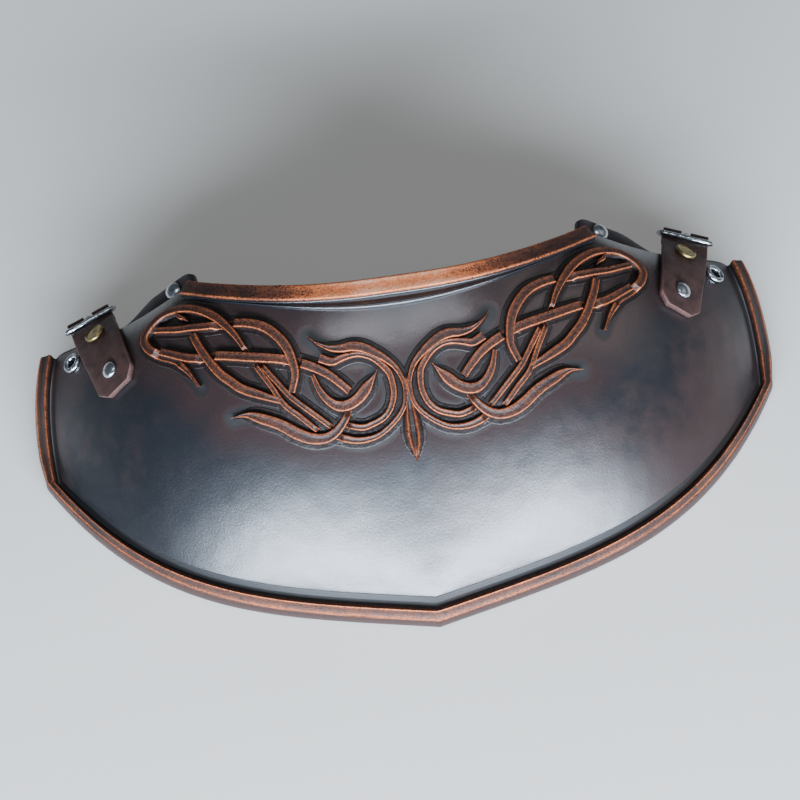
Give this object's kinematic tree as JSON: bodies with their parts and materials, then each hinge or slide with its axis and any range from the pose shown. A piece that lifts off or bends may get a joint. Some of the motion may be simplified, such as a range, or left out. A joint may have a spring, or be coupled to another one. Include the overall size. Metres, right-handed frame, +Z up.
{
  "type": "leather gorget",
  "caption": "Moulded leather gorget plate with a curved neck edge, raised border and knotwork, and on each shoulder a riveted tab with a turning buckle, an eyelet and a strap.",
  "frame": {"origin": "on the floor, under the centre of the whole part's bounding box", "axes": "+X towards the wearer's left shoulder, to the right in the picture; +Y from the lower tip to the neck; +Z up, out of the plate's front"},
  "size_m": [0.355, 0.1864, 0.0962],
  "materials": {
    "moulded_leather": "waxed, semi-gloss, black rubbed over brown",
    "copper_rubbed_leather": "dark leather with a copper wax rubbed over its raised faces",
    "brown_tab_leather": "satin",
    "dark_strap_leather": "matte",
    "bright_steel": "bright, slightly hammered",
    "aged_brass": "dull, aged"
  },
  "bodies": {
    "root": {"plate": "moulded_leather", "outer_border": "copper_rubbed_leather", "neck_border": "copper_rubbed_leather", "knotwork": "copper_rubbed_leather", "tab_left": "brown_tab_leather", "tab_right": "brown_tab_leather", "shoulder_strap_left": "dark_strap_leather", "shoulder_strap_right": "dark_strap_leather", "tab_brass_rivet_left": "aged_brass", "tab_brass_rivet_right": "aged_brass", "tab_steel_rivet_left": "bright_steel", "tab_steel_rivet_right": "bright_steel", "shoulder_rivet_left": "bright_steel", "shoulder_rivet_right": "bright_steel", "eyelet_left": "bright_steel", "eyelet_right": "bright_steel"},
    "buckle_left": {"buckle_frame_left": "bright_steel"},
    "buckle_right": {"buckle_frame_right": "bright_steel"},
    "tongue_left": {"buckle_tongue_left": "bright_steel"},
    "tongue_right": {"buckle_tongue_right": "bright_steel"}
  },
  "joints": [
    {"name": "buckle_left_bar", "type": "hinge", "parent": "root", "child": "buckle_left", "pos_m": [-0.14561, 0.08335, 0.02809], "axis": [0.9258, 0.3587, 0.119], "range_deg": [-50, 0]},
    {"name": "buckle_right_bar", "type": "hinge", "parent": "root", "child": "buckle_right", "pos_m": [0.14561, 0.08335, 0.02809], "axis": [0.9258, -0.3587, -0.119], "range_deg": [-50, 0]},
    {"name": "tongue_left_eye", "type": "hinge", "parent": "buckle_left", "child": "tongue_left", "pos_m": [-0.14561, 0.08335, 0.02809], "axis": [0.9258, 0.3587, 0.119], "range_deg": [0, 135]},
    {"name": "tongue_right_eye", "type": "hinge", "parent": "buckle_right", "child": "tongue_right", "pos_m": [0.14561, 0.08335, 0.02809], "axis": [0.9258, -0.3587, -0.119], "range_deg": [0, 135]}
  ]
}
